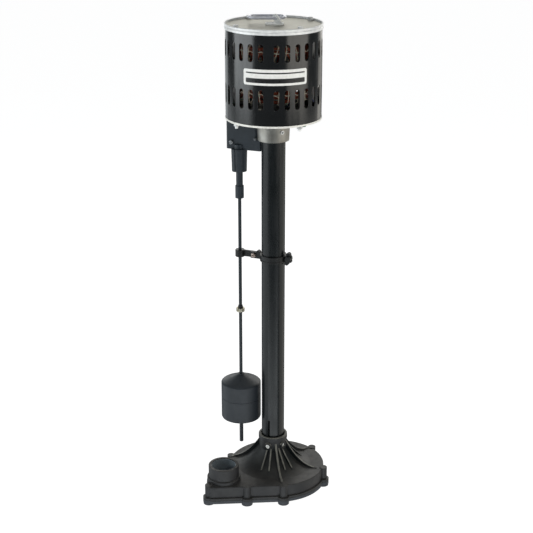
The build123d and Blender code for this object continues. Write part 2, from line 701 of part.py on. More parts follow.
def snout():
    """Tapered nozzle with ribs down its sides, on the rod axis."""
    low, high = SNOUT_Z[0], SNOUT_Z[1] + 1.0
    core = spin([(0, low), (SNOUT_R[0] - SNOUT_GROOVE, low), (SNOUT_R[1] - SNOUT_GROOVE, high), (0, high)])
    hull = spin([(0, low), (SNOUT_R[0], low), (SNOUT_R[1], high), (0, high)])
    bar = block((8.0, SNOUT_R[1]), (-SNOUT_RIB_HALF, SNOUT_RIB_HALF), (low, high)) & hull
    for turn in range(SNOUT_RIBS):
        core += at_angle(-90.0 - SIDE_TURN + 360.0 / SNOUT_RIBS * turn, bar)
    return core


def switch_housing():
    """Moulded switch box with its ribbed snout."""
    box = block(BOX_X, BOX_Y, BOX_Z)
    box = fillet(box.edges().filter_by(Axis.Z), BOX_EDGE_R)
    toe = block((BOX_X[1] - 6.0, -20.6), (BOX_Y[0], 8.0), (BOX_Z[0], 603.0))
    box += fillet(toe.edges().filter_by(Axis.Z), 1.5)
    bulge = disc(8.6, BOX_Z[0], BULGE_TOP_Z)
    bulge = fillet(edges_at(bulge, BULGE_TOP_Z), 2.0)
    box += at_rod(bulge + snout())
    for x, z, head_r in FRONT_SCREWS:
        box += Pos(x, BOX_Y[0] + 0.5, z) * along_y(disc(head_r + 0.4, 0, 1.7))
    box += Pos(BOX_X[0] - 1.1, 8.0, 615.0) * (Rot(0, 90, 0) * disc(2.6, 0, 3.0))
    box -= block((BOX_X[0] + BOX_WALL, BOX_X[1] - BOX_WALL), (BOX_Y[0] + BOX_WALL, BOX_Y[1] + 1),
                 (BOX_Z[0] + BOX_WALL, BOX_Z[1] - BOX_WALL))
    post_z = (BOX_MIDDLE_Z - 3.2, BOX_MIDDLE_Z + 3.2)
    for x in LID_SCREW_X:
        box += block((x - LID_POST_HALF, x + LID_POST_HALF), (BOX_Y[1] - 12.0, BOX_Y[1]), post_z)
        box -= Pos(x, BOX_Y[1], BOX_MIDDLE_Z) * along_y(disc(LID_SCREW_R, -1, 9.0))
    box -= at_rod(disc(PLUNGER_R + SLIP, SNOUT_Z[0] - 1, PLUNGER_BORE_TOP_Z))
    box -= Pos(LEVER_PIVOT_X, 0, LEVER_PIVOT_Z) * along_y(disc(1.5, -20, 3.2))
    return side(box)


def switch_lid():
    """Back cover of the switch box."""
    lid = block((BOX_X[0] + 0.2, BOX_X[1] - 0.2), (BOX_Y[1], BOX_Y[1] + LID_T),
                (BOX_Z[0] + 0.2, BOX_Z[1] - 0.2))
    lid = fillet(lid.edges().filter_by(Axis.Y), 3.0)
    for x in LID_SCREW_X:
        lid -= Pos(x, BOX_Y[1], BOX_MIDDLE_Z) * along_y(disc(LID_SCREW_R, -5, 5))
    return side(lid)


def switch_lid_screws():
    """Two screws in the back cover, each into a post."""
    screw = disc(LID_SCREW_R, -LID_T, 9.0) + disc(3.0, -LID_T - 2.0, -LID_T)
    return group([side(Pos(x, BOX_Y[1], BOX_MIDDLE_Z) * along_y(screw)) for x in LID_SCREW_X])


def switch_front_screws():
    """Two bright screws on the front face, over the moulded bosses."""
    screws = []
    for x, z, head_r in FRONT_SCREWS:
        screw = disc(head_r, 1.2, 3.4)
        screw = fillet(edges_at(screw, 3.4), 1.1)
        screw -= block((-5, 5), (-0.5, 0.5), (2.6, 4))
        screws.append(side(Pos(x, BOX_Y[0], z) * along_y(screw)))
    return group(screws)


def snap_switch():
    """Snap-action switch above the lever."""
    body = block((-69.5, -46.0), (1.0, 21.0), (SNAP_BOTTOM_Z, SNAP_BOTTOM_Z + 20.0))
    button = Pos(ROD_X, 11.0, 0) * disc(1.6, SNAP_BOTTOM_Z - 4.4, SNAP_BOTTOM_Z)
    return side(body + button)


def switch_lever():
    """Lever that the plunger lifts."""
    arm = block((-64.0, LEVER_PIVOT_X), (-1.2, 14.0), (592.6, 595.4))
    hub = Pos(LEVER_PIVOT_X, 14.0, LEVER_PIVOT_Z) * along_y(disc(3.6, 0, 15.2))
    return side(arm + hub - Pos(LEVER_PIVOT_X, 0, LEVER_PIVOT_Z) * along_y(disc(1.5 + SLIP, -30, 30)))


def lever_pin():
    """Pivot pin of the lever."""
    return side(Pos(LEVER_PIVOT_X, 0, LEVER_PIVOT_Z) * along_y(disc(1.5, -19.0, 3.0)))


def switch_plunger():
    """Plunger that slides in the snout."""
    body = disc(PLUNGER_R, COUPLER_Z[1], PLUNGER_TOP_Z) + disc(NOSE_R, PLUNGER_TOP_Z - 1, NOSE_TOP_Z)
    return side(at_rod(body))


def rod_coupler():
    """Cup that joins the plunger to the float rod."""
    cup = disc(COUPLER_R, *COUPLER_Z)
    cup = fillet(edges_at(cup, COUPLER_Z[1]), 1.2)
    return side(at_rod(cup - disc(ROD_R, COUPLER_Z[0] - 1, ROD_Z[1])))


def float_rod():
    """Float rod."""
    return side(at_rod(disc(ROD_R, *ROD_Z)))


def rod_stop():
    """Collar that the float lifts, slotted for its screw."""
    low, high = STOP_Z
    collar = fillet(disc(7.0, low, high).edges().filter_by(GeomType.CIRCLE), 0.7)
    collar -= disc(ROD_R, low - 1, high + 1)
    screw_hole = Pos(0, 0, (low + high) / 2) * along_y(disc(1.6, 0, 10))
    return side(at_rod(collar - at_angle(STOP_SCREW_ANGLE, screw_hole)))


def rod_stop_screw():
    """Set screw of the collar, proud of its side."""
    screw = disc(1.6, ROD_R, 8.2) - block((-3, 3), (-0.4, 0.4), (7.2, 9))
    screw = Pos(0, 0, (STOP_Z[0] + STOP_Z[1]) / 2) * along_y(screw)
    return side(at_rod(at_angle(STOP_SCREW_ANGLE, screw)))


def rod_bumper():
    """Rubber cone on top of the collar."""
    top = STOP_Z[1]
    return side(at_rod(spin([(ROD_R, top), (4.6, top), (3.4, top + 5.0), (ROD_R, top + 5.0)])))


def lower_stop():
    """Push-on sleeve over the rod's end, with the collar that carries the float."""
    sleeve = disc(ROD_R + 0.55, ROD_Z[0] - 1.5, LOWER_STOP_Z[0] + 1)
    sleeve = fillet(edges_at(sleeve, ROD_Z[0] - 1.5), 1.2)
    stop = sleeve + disc(5.5, *LOWER_STOP_Z) - disc(ROD_R, ROD_Z[0], LOWER_STOP_Z[1] + 1)
    return side(at_rod(stop))


def float_shell(corners_out, corners_in):
    """Half of the float from its outer and inner corners."""
    return side(at_rod(spin(corners_out + corners_in)))


def float_lower():
    """Lower half of the float: a cup with a rod tube."""
    bore, sleeve = ROD_R + 0.08, ROD_R + 2.2
    low, seam, inner = FLOAT_Z[0], FLOAT_SEAM_Z, FLOAT_R - FLOAT_WALL
    return float_shell([(bore, low), (FLOAT_R - 2.5, low), (FLOAT_R - 0.8, low + 0.9), (FLOAT_R, low + 2.8),
                        (FLOAT_R, seam - 0.5), (FLOAT_R - 0.5, seam)],
                       [(inner, seam), (inner, low + FLOAT_WALL + 1), (sleeve, low + FLOAT_WALL + 1),
                        (sleeve, seam), (bore, seam)])


def float_upper():
    """Upper half of the float: a low cone with a rod tube."""
    bore, sleeve = ROD_R + 0.08, ROD_R + 2.2
    seam, top, inner = FLOAT_SEAM_Z, FLOAT_Z[1], FLOAT_R - FLOAT_WALL
    return float_shell([(FLOAT_R - 0.5, seam), (FLOAT_R, seam + 0.5), (FLOAT_R, top - 1.6),
                        (FLOAT_R - 1.4, top), (FLOAT_R - 3.4, top + 1.2), (5.4, FLOAT_APEX_Z),
                        (5.2, FLOAT_APEX_Z + 2.0), (bore, FLOAT_APEX_Z + 2.0), (bore, seam)],
                       [(sleeve, seam), (sleeve, FLOAT_APEX_Z - FLOAT_WALL - 1), (inner - 2.0, top - 1.4),
                        (inner, top - 3.0), (inner, seam)])


# ---------------------------------------------------------------- rod guide
def clamp_half(back):
    """One half of the column clamp, with an ear at each end."""
    sign = 1.0 if back else -1.0
    low, high = CLAMP_Z
    radius = COLUMN_R + CLAMP_BAND_T
    ring = tube(radius, COLUMN_R, low, high)
    for edge_z in (low, high - CLAMP_BEAD_H):
        ring += tube(radius + 0.8, COLUMN_R, edge_z, edge_z + CLAMP_BEAD_H)
    near, far = sorted((sign * CLAMP_GAP / 2, sign * 50.0))
    half = ring & block((-50, 50), (near, far), (low - 1, high + 1))
    near, far = sorted((sign * CLAMP_GAP / 2, sign * (CLAMP_GAP / 2 + CLAMP_EAR_T)))
    half += block((COLUMN_R + 0.3, CLAMP_EAR_X[1]), (near, far), CLAMP_Z)
    half += block((CLAMP_EAR_X[0], -COLUMN_R - 0.3), (near, far), CLAMP_Z)
    half += Pos(-25.5, far, high - 0.2) * along_y(disc(3.6, 0, CLAMP_EAR_T))
    tab = extrude(Plane.XZ * SlotOverall(CLAMP_TAB_H, 7.4, rotation=90), CLAMP_EAR_T / 2, both=True)
    half += Pos(25.4, (near + far) / 2, CLAMP_MIDDLE_Z) * (Rot(0, 11.0, 0) * tab)
    half -= disc(COLUMN_R, low - 10, high + 10)
    for x in (CLAMP_SCREW_X, CLAMP_BOLT_X):
        half -= Pos(x, 0, CLAMP_MIDDLE_Z) * along_y(disc(2.1, -12, 12))
    if back:
        half += guide_arm()
    return side(half)


def guide_arm():
    """Arm from the rear clamp half to the rod eye."""
    arm = block((ROD_X, CLAMP_EAR_X[0] + 5.0), (CLAMP_GAP / 2, CLAMP_GAP / 2 + CLAMP_EAR_T),
                (GUIDE_Z[0] + 0.5, GUIDE_Z[1] - 0.8))
    arm -= Pos(CLAMP_SCREW_X, 0, CLAMP_MIDDLE_Z) * along_y(disc(2.1, -12, 12))
    eye = fillet(disc(GUIDE_R, *GUIDE_Z).edges().filter_by(GeomType.CIRCLE), 0.8)
    return arm + at_rod(eye) - at_rod(disc(ROD_R + 0.08, GUIDE_Z[0] - 1, GUIDE_Z[1] + 1))


def clamp_front():
    """Front half of the clamp."""
    return clamp_half(back=False)


def clamp_rear():
    """Rear half of the clamp, one piece with the rod guide."""
    return clamp_half(back=True)


def clamp_fastener(x, head_r, hex_head):
    """Bolt and nut through the ears at one side of the clamp."""
    face = CLAMP_GAP / 2 + CLAMP_EAR_T
    head = hexagon(2 * head_r, face, face + 3.4) if hex_head else disc(head_r, face, face + 2.8)
    bolt = head + disc(2.1, -face - 5.0, face)
    if not hex_head:
        bolt = fillet(edges_at(bolt, face + 2.8), 1.2)
        bolt -= block((-5, 5), (-0.6, 0.6), (face + 1.8, face + 4))
    nut = hexagon(7.5, -face - 3.4, -face) - disc(2.1, -face - 9, face)
    return [side(Pos(x, 0, CLAMP_MIDDLE_Z) * along_y(piece)) for piece in (bolt, nut)]


def clamp_screw():
    """Bright pan-head screw at the rod side of the clamp."""
    return clamp_fastener(CLAMP_SCREW_X, 3.9, False)[0]


def clamp_bolt():
    """Blackened hex bolt at the other side of the clamp."""
    return clamp_fastener(CLAMP_BOLT_X, 4.8, True)[0]


def clamp_nuts():
    """Nuts behind the clamp."""
    nuts = [clamp_fastener(CLAMP_SCREW_X, 3.9, False)[1], clamp_fastener(CLAMP_BOLT_X, 4.8, True)[1]]
    return group(nuts)


# ---------------------------------------------------------------- files
PARTS = (volute_casing, volute_gasket, base_plate, suction_strainer, base_screws, socket_set_screw,
         impeller, impeller_nut, shaft_seal, lower_bushing, column_tube, column_bushing, pump_shaft,
         motor_shaft, shaft_coupling, coupling_set_screws, motor_shell, motor_top_cover, lower_end_bell,
         neck_set_screw, through_bolts, through_bolt_nuts, ground_screw, stator_core, stator_windings,
         slot_wedges, thermal_protector, rotor, cooling_fan, upper_bearing, lower_bearing, cord_grommet,
         lifting_ring, ring_bracket, bracket_rivets, switch_housing, switch_lid, switch_lid_screws,
         switch_front_screws, snap_switch, switch_lever, lever_pin, switch_plunger, rod_coupler,
         float_rod, rod_stop, rod_stop_screw, rod_bumper, lower_stop, float_lower, float_upper,
         clamp_front, clamp_rear, clamp_screw, clamp_bolt, clamp_nuts)


def main():
    """Write one file per sub-part."""
    os.makedirs("parts", exist_ok=True)
    for build in PARTS:
        export_step(build(), f"parts/{build.__name__}.step")


main()
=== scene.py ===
"""Looks of the pedestal sump pump: materials, light and camera around the fixed CAD frame.

The CAD frame holds every rigid part. This script adds what it has no nodes for: the wound coil ends with
their lacing and leads, near-black sheets behind the shell's slots that paint the shade inside the motor, the
pipe thread in the discharge, and a plain decal on the shell.

The origin is on the floor on the column's axis, +Z is up and -Y is the front. Camera, floor and lights are
given in metres; the pump's own measures are in millimetres and are scaled by MM.
"""
import json
import math
import random

import bpy
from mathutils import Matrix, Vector


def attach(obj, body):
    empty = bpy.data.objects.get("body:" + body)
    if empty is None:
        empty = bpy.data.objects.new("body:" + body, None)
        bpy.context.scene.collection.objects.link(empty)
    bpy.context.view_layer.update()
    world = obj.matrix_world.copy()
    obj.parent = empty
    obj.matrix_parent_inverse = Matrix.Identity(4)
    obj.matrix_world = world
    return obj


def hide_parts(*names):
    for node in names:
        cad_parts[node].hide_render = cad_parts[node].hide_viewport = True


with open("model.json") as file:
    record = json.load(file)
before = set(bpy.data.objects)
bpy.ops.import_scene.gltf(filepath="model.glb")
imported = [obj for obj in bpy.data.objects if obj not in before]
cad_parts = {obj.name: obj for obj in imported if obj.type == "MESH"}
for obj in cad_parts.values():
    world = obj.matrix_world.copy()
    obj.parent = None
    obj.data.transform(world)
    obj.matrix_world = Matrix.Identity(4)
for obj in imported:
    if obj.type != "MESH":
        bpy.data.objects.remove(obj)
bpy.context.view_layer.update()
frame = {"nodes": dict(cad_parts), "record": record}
scene = bpy.context.scene
MM = 0.001

# ---------------------------------------------------------------- camera
CAMERA_AT = (-0.011, -1.875, 1.075)
CAMERA_TILT_DEG = 70.0
CAMERA_LENS_MM = 82.4
CAMERA_SENSOR_MM = 36.0

camera_data = bpy.data.cameras.new("camera")
camera_data.lens = CAMERA_LENS_MM
camera_data.sensor_width = CAMERA_SENSOR_MM
camera = bpy.data.objects.new("camera", camera_data)
camera.location = CAMERA_AT
camera.rotation_euler = (math.radians(CAMERA_TILT_DEG), 0.0, 0.0)
scene.collection.objects.link(camera)
scene.camera = camera


# ---------------------------------------------------------------- materials
MASK_BLUR_MM = 0.2
COVER_RIM_FROM_MM = 73.2            # radius where the top cover's rolled rim, which gets a painted highlight, begins
BELL_RING_FROM_MM = 74.0            # radius where the lower end bell's outer ring, which gets a painted highlight, begins
BOLT_SHANK_MM = (643.0, 768.0)      # heights between which a through bolt is inside the motor, where its shank is painted in shade
FOOT_BELL_INNER_MM = 24.0           # the foot's bell rises from the outer radius to the inner one
FOOT_BELL_OUTER_MM = 72.0
FOOT_BELL_FOOT_MM = 32.2
FOOT_BELL_RISE_MM = 31.8
RIB_PROUD_MM = 1.5                  # what stands over the bell by more than this is a rib's crest, which gets a painted highlight
RIB_REACH_MM = 74.0
HOLLOW_SHADE_RADII_MM = (44.0, 68.0)      # the painted shade between the ribs fades out over these radii and heights
HOLLOW_SHADE_LEVELS_MM = (66.0, 80.0)


def srgb(red, green, blue):
    """Screen colour, 0 to 255, as the linear colour that shaders take."""
    def linear(value):
        value /= 255.0
        return value / 12.92 if value <= 0.04045 else ((value + 0.055) / 1.055) ** 2.4
    return (linear(red), linear(green), linear(blue), 1.0)


class Surface:
    """One material and its nodes, placed by the piece's own coordinates."""

    def __init__(self, name, metallic=0.0, specular=0.5, coat=0.0, coat_roughness=0.1, edge=0.3):
        self.material = bpy.data.materials.new(name)
        self.material.use_nodes = True
        self.nodes = self.material.node_tree.nodes
        self.links = self.material.node_tree.links
        self.shader = self.nodes["Principled BSDF"]
        self.shader.inputs["Metallic"].default_value = metallic
        self.shader.inputs["Specular IOR Level"].default_value = specular
        self.shader.inputs["Coat Weight"].default_value = coat
        self.shader.inputs["Coat Roughness"].default_value = coat_roughness
        self.place = self.nodes.new("ShaderNodeTexCoord").outputs["Object"]
        rounding = self.nodes.new("ShaderNodeBevel")
        rounding.samples = 4
        rounding.inputs["Radius"].default_value = edge * MM
        self.rounded = rounding.outputs["Normal"]
        self.normal = self.rounded

    def feed(self, socket, value):
        """Link a node's output to a socket, or set the socket's own value."""
        if isinstance(value, bpy.types.NodeSocket):
            self.links.new(value, socket)
        else:
            socket.default_value = value

    def noise(self, size_mm, detail=3.0, stretch=(1.0, 1.0, 1.0)):
        """Noise with lumps of about size_mm, drawn out along an axis whose stretch is above 1."""
        mapping = self.nodes.new("ShaderNodeMapping")
        mapping.inputs["Scale"].default_value = [1.0 / factor for factor in stretch]
        self.links.new(self.place, mapping.inputs["Vector"])
        texture = self.nodes.new("ShaderNodeTexNoise")
        texture.inputs["Scale"].default_value = 1.0 / (size_mm * MM)
        texture.inputs["Detail"].default_value = detail
        self.links.new(mapping.outputs["Vector"], texture.inputs["Vector"])
        return texture.outputs["Fac"]

    def cells(self, size_mm):
        """Irregular grains of about size_mm, each with its own value."""
        texture = self.nodes.new("ShaderNodeTexVoronoi")
        texture.inputs["Scale"].default_value = 1.0 / (size_mm * MM)
        self.links.new(self.place, texture.inputs["Vector"])
        return texture.outputs["Color"]

    def span(self, value, low, high, start=0.3, stop=0.7):
        """A value that runs from low to high while the input runs from start to stop."""
        node = self.nodes.new("ShaderNodeMapRange")
        self.feed(node.inputs["Value"], value)
        self.feed(node.inputs["From Min"], start)
        self.feed(node.inputs["From Max"], stop)
        self.feed(node.inputs["To Min"], low)
        self.feed(node.inputs["To Max"], high)
        return node.outputs["Result"]

    def maths(self, operation, *operands):
        """One arithmetic node."""
        node = self.nodes.new("ShaderNodeMath")
        node.operation = operation
        for socket, operand in zip(node.inputs, operands):
            self.feed(socket, operand)
        return node.outputs["Value"]

    def blend(self, amount, first, second):
        """A colour between two colours."""
        node = self.nodes.new("ShaderNodeMix")
        node.data_type = "RGBA"
        self.feed(node.inputs["Factor"], amount)
        self.feed(node.inputs["A"], first)
        self.feed(node.inputs["B"], second)
        return node.outputs["Result"]

    def mottle(self, dark, light, size_mm, detail, stretch=(1.0, 1.0, 1.0)):
        """A cloudy colour between two screen colours."""
        cloud = self.span(self.noise(size_mm, detail, stretch), 0.0, 1.0)
        return self.blend(cloud, srgb(*dark), srgb(*light))

    def facing(self):
        """The upward part of the surface's own normal."""
        geometry = self.nodes.new("ShaderNodeNewGeometry")
        parts = self.nodes.new("ShaderNodeSeparateXYZ")
        self.links.new(geometry.outputs["Normal"], parts.inputs["Vector"])
        return parts.outputs["Z"]

    def edges(self, strength):
        """Strength on worn outside edges, 0 on flats, broken up by noise."""
        geometry = self.nodes.new("ShaderNodeNewGeometry")
        dot = self.nodes.new("ShaderNodeVectorMath")
        dot.operation = "DOT_PRODUCT"
        self.links.new(self.rounded, dot.inputs[0])
        self.links.new(geometry.outputs["Normal"], dot.inputs[1])
        sharp = self.span(dot.outputs["Value"], strength, 0.0, 0.86, 0.99)
        return self.maths("MULTIPLY", sharp, self.span(self.noise(3.0), 0.1, 1.0, 0.42, 0.62))

    def upward(self, strength):
        """Strength on patches of faces that look up, where dust settles."""
        level = self.span(self.facing(), 0.0, strength, 0.5, 1.0)
        return self.maths("MULTIPLY", level, self.span(self.noise(14.0, 6.0), 0.35, 1.0))

    def radius(self):
        """Distance from the column's axis."""
        flat = self.nodes.new("ShaderNodeVectorMath")
        flat.operation = "MULTIPLY"
        flat.inputs[1].default_value = (1.0, 1.0, 0.0)
        self.links.new(self.place, flat.inputs[0])
        length = self.nodes.new("ShaderNodeVectorMath")
        length.operation = "LENGTH"
        self.links.new(flat.outputs["Vector"], length.inputs[0])
        return length.outputs["Value"]

    def height(self):
        """Height over the floor."""
        parts = self.nodes.new("ShaderNodeSeparateXYZ")
        self.links.new(self.place, parts.inputs["Vector"])
        return parts.outputs["Z"]

    def past(self, value, limit_mm):
        """1 where a length is over limit_mm, 0 where it is under."""
        return self.span(value, 0.0, 1.0, (limit_mm - MASK_BLUR_MM) * MM, (limit_mm + MASK_BLUR_MM) * MM)

    def crest_highlight(self):
        """1 on the tops of the foot's ribs, where a highlight is painted, 0 on their sides, on the bell and
        on the deck.
        """
        level = self.span(self.facing(), 0.0, 1.0, 0.25, 0.4)
        radius = self.radius()
        reach = self.span(radius, 1.0, 0.0, FOOT_BELL_INNER_MM * MM, FOOT_BELL_OUTER_MM * MM)
        curve = self.maths("POWER", reach, 2.0)
        bell = self.maths("MULTIPLY_ADD", curve, FOOT_BELL_RISE_MM * MM, FOOT_BELL_FOOT_MM * MM)
        proud = self.past(self.maths("SUBTRACT", self.height(), bell), RIB_PROUD_MM)
        inside = self.maths("SUBTRACT", 1.0, self.past(radius, RIB_REACH_MM))
        return self.maths("MULTIPLY", self.maths("MULTIPLY", proud, level), inside)

    def hollow_shade(self, strength):
        """Strength of painted shade between the ribs of the foot's bell, 0 on the deck and on the column
        socket.
        """
        near = self.span(self.radius(), strength, 0.0, *[edge * MM for edge in HOLLOW_SHADE_RADII_MM])
        low = self.span(self.height(), 1.0, 0.0, *[level * MM for level in HOLLOW_SHADE_LEVELS_MM])
        return self.maths("MULTIPLY", near, low)

    def bump(self, height, depth_mm):
        """Add a relief of depth_mm to the surface."""
        node = self.nodes.new("ShaderNodeBump")
        node.inputs["Strength"].default_value = 1.0
        node.inputs["Distance"].default_value = depth_mm * MM
        self.links.new(height, node.inputs["Height"])
        self.links.new(self.normal, node.inputs["Normal"])
        self.normal = node.outputs["Normal"]

    def done(self, colour, roughness):
        """Connect colour, roughness and relief, and hand back the material."""
        self.feed(self.shader.inputs["Base Color"], colour)
        self.feed(self.shader.inputs["Roughness"], roughness)
        self.links.new(self.normal, self.shader.inputs["Normal"])
        return self.material


def moulded_plastic(name, dark, light, roughness, grain_mm=0.45, grain_depth_mm=0.02, dust=0.0, wear=0.45,
                    crest_highlight=0.0):
    """Black moulded plastic with a spark-eroded grain, faint flow marks and paler scuffed edges.

    The last argument is for the pump casing: how strong a highlight is painted on the tops of its ribs, with
    painted shade between them.
    """
    surface = Surface(name, edge=0.6)
    colour = surface.mottle(dark, light, 26.0, 5.0, stretch=(1.0, 1.0, 2.2))
    colour = surface.blend(surface.edges(wear), colour, srgb(92, 91, 87))
    if crest_highlight:
        # painted shade: near-black between the ribs of the foot's bell, where the casing lies in shade
        colour = surface.blend(surface.hollow_shade(0.95), colour, srgb(7, 15, 18))
        # painted highlight: paler tops of the ribs, as if lit from above, broken up by noise
        crest_highlight_patches = surface.span(surface.noise(7.0), 0.55 * crest_highlight, crest_highlight)
        painted_crest_highlight = surface.maths("MULTIPLY", surface.crest_highlight(), crest_highlight_patches)
        colour = surface.blend(painted_crest_highlight, colour, srgb(126, 125, 118))
    if dust:
        colour = surface.blend(surface.upward(dust), colour, srgb(120, 114, 102))
    shine = surface.span(surface.noise(8.0, 4.0), roughness - 0.06, roughness + 0.08)
    surface.bump(surface.noise(grain_mm, 2.0), grain_depth_mm)
    surface.bump(surface.noise(9.0, 2.0), 0.05)
    return surface.done(colour, shine)


def enamel(name, roughness, specular=0.85, tint=(12, 13, 14), wear=0.5):
    """Black enamel over steel: slight orange peel, faint rub streaks, and edges where the paint is thin."""
    surface = Surface(name, specular=specular, edge=0.3)
    colour = surface.mottle(tint, [part + 8 for part in tint], 40.0, 4.0)
    colour = surface.blend(surface.edges(wear), colour, srgb(98, 94, 88))
    streaks = surface.noise(5.0, 8.0, stretch=(1.0, 1.0, 7.0))
    shine = surface.span(streaks, roughness, roughness + 0.1, 0.45, 0.8)
    surface.bump(surface.noise(2.6, 2.0), 0.012)
    surface.bump(surface.noise(45.0, 1.0), 0.06)
    return surface.done(colour, shine)


def plated(name, dark, light, roughness, grain_mm=0.8, grain_depth_mm=0.004, spots=0.25, metallic=1.0):
    """Plated metal: faint crystal grain, cloudy tarnish and brighter edges."""
    surface = Surface(name, metallic=metallic, edge=0.25)
    colour = surface.mottle(dark, light, 11.0, 5.0)
    tarnish = surface.span(surface.noise(4.0, 9.0), 0.0, spots, 0.58, 0.74)
    colour = surface.blend(tarnish, colour, srgb(96, 92, 84))
    colour = surface.blend(surface.edges(0.4), colour, srgb(232, 230, 224))
    shine = surface.span(surface.noise(7.0, 6.0), roughness - 0.05, roughness + 0.12)
    surface.bump(surface.noise(grain_mm, 3.0), grain_depth_mm)
    return surface.done(colour, shine)


def shaded_bolts(name):
    """Plated bolts with bright heads and ends, and shanks painted dark in shade where they run inside the
    motor.
    """
    surface = Surface(name, metallic=0.3, edge=0.25)
    bright_plate = surface.mottle((226, 228, 228), (244, 245, 244), 6.0, 5.0)
    shank_shade_colour = surface.mottle((34, 33, 31), (52, 50, 46), 6.0, 5.0)
    # painted shade: the shanks are dark between these heights, where the shell shades them
    low, high = [surface.past(surface.height(), level) for level in BOLT_SHANK_MM]
    within = surface.maths("SUBTRACT", low, high)
    colour = surface.blend(within, bright_plate, shank_shade_colour)
    surface.bump(surface.noise(0.8, 3.0), 0.004)
    return surface.done(colour, surface.span(surface.noise(5.0, 4.0), 0.28, 0.4))


def brushed(name, dark, light, roughness, stretch=(1.0, 1.0, 30.0)):
    """Machined or drawn metal with fine lines along one axis."""
    surface = Surface(name, metallic=1.0, edge=0.25)
    lines = surface.noise(0.5, 3.0, stretch=stretch)
    colour = surface.blend(surface.span(lines, 0.0, 1.0), srgb(*dark), srgb(*light))
    shine = surface.span(surface.noise(6.0, 5.0), roughness - 0.04, roughness + 0.1)
    surface.bump(lines, 0.005)
    return surface.done(colour, shine)


def cast_metal(name):
    """Die-cast zinc-aluminium: satin skin with fine pits and soft flow marks, and a painted highlight on the
    lower end bell's outer ring.
    """
    surface = Surface(name, metallic=1.0, edge=0.4)
    colour = surface.mottle((162, 159, 151), (192, 190, 184), 13.0, 6.0)
    colour = surface.blend(surface.edges(0.5), colour, srgb(228, 226, 220))
    # painted highlight: the outer ring is whiter and less metallic, standing in for the bright line the
    # light draws on its edge
    ring = surface.past(surface.radius(), BELL_RING_FROM_MM)
    colour = surface.blend(ring, colour, surface.mottle((222, 221, 214), (240, 239, 233), 5.0, 5.0))
    surface.feed(surface.shader.inputs["Metallic"], surface.span(ring, 1.0, 0.15, 0.0, 1.0))
    shine = surface.span(surface.noise(4.0, 6.0), 0.36, 0.52)
    surface.bump(surface.noise(1.1, 4.0), 0.035)
    surface.bump(surface.noise(12.0, 2.0), 0.06)
    return surface.done(colour, shine)


def drawn_cover(name):
    """Zinc-coated sheet of the top cover: fine matt grain over soft pressing marks, and a painted highlight
    on the rolled rim.
    """
    surface = Surface(name, metallic=1.0, edge=0.4)
    grain = surface.cells(0.9)
    parts = surface.nodes.new("ShaderNodeSeparateColor")
    surface.links.new(grain, parts.inputs["Color"])
    fleck = parts.outputs["Red"]
    colour = surface.blend(surface.span(fleck, 0.0, 1.0, 0.0, 1.0), srgb(160, 158, 146), srgb(190, 188, 177))
    colour = surface.blend(surface.span(surface.noise(18.0, 6.0), 0.0, 0.35), colour, srgb(140, 137, 124))
    # painted highlight: the rolled rim is whiter and less metallic, standing in for the bright bands the
    # light draws on it
    rim = surface.past(surface.radius(), COVER_RIM_FROM_MM)
    colour = surface.blend(rim, colour, surface.mottle((216, 218, 218), (240, 241, 240), 6.0, 5.0))
    surface.feed(surface.shader.inputs["Metallic"], surface.span(rim, 1.0, 0.3, 0.0, 1.0))
    shine = surface.span(fleck, 0.34, 0.5, 0.0, 1.0)
    surface.bump(surface.noise(0.7, 2.0), 0.006)
    surface.bump(surface.noise(24.0, 1.0), 0.1)
    return surface.done(colour, shine)


def enamelled_wire(name, dark, light):
    """Copper wire under red-brown varnish, darker where the varnish has pooled."""
    surface = Surface(name, metallic=0.75, coat=0.6, coat_roughness=0.12, edge=0.1)
    colour = surface.mottle(dark, light, 5.0, 5.0)
    shine = surface.span(surface.noise(1.5, 3.0), 0.22, 0.42)
    surface.bump(surface.noise(0.8, 2.0), 0.03)
    return surface.done(colour, shine)


def soft_plain(name, dark, light, roughness, grain_mm=0.6, depth_mm=0.02, sheen=0.0):
    """Rubber, cord, sleeve or vinyl: a mottled colour with a fine skin."""
    surface = Surface(name, edge=0.2)
    surface.shader.inputs["Sheen Weight"].default_value = sheen
    colour = surface.mottle(dark, light, 4.0, 5.0)
    shine = surface.span(surface.noise(3.0, 4.0), roughness - 0.05, roughness + 0.08)
    surface.bump(surface.noise(grain_mm, 3.0), depth_mm)
    return surface.done(colour, shine)


casing_black = moulded_plastic("casing_plastic", (39, 40, 42), (48, 48, 49), 0.46, dust=0.18, wear=0.9,
                               crest_highlight=0.9)
base_black = moulded_plastic("base_plastic", (50, 54, 60), (58, 62, 68), 0.46, wear=0.9)
float_black = moulded_plastic("float_plastic", (38, 43, 48), (46, 51, 57), 0.42, grain_mm=1.2,
                              grain_depth_mm=0.012)
switch_black = moulded_plastic("switch_plastic", (28, 36, 43), (36, 45, 53), 0.46, grain_mm=0.5,
                               grain_depth_mm=0.03)
nylon_black = moulded_plastic("nylon", (30, 30, 30), (44, 43, 42), 0.36)
shell_enamel = enamel("shell_enamel", 0.16)
tube_enamel = enamel("tube_enamel", 0.26, specular=0.6, tint=(5, 9, 11))
clamp_enamel = enamel("clamp_enamel", 0.34, specular=0.6)
rod_enamel = enamel("rod_coating", 0.36, specular=0.45, tint=(31, 39, 44), wear=0.2)
zinc = plated("zinc_plate", (206, 208, 209), (232, 233, 231), 0.24, metallic=0.6)
screw_zinc = plated("screw_zinc", (134, 138, 142), (166, 170, 173), 0.2, spots=0.1, metallic=0.7)
ring_zinc = plated("ring_zinc", (214, 216, 230), (240, 241, 248), 0.16, spots=0.1, metallic=0.5)
bracket_zinc = plated("bracket_zinc", (238, 240, 238), (250, 251, 249), 0.3, spots=0.12, metallic=0.05)
bolt_zinc = shaded_bolts("bolt_zinc")
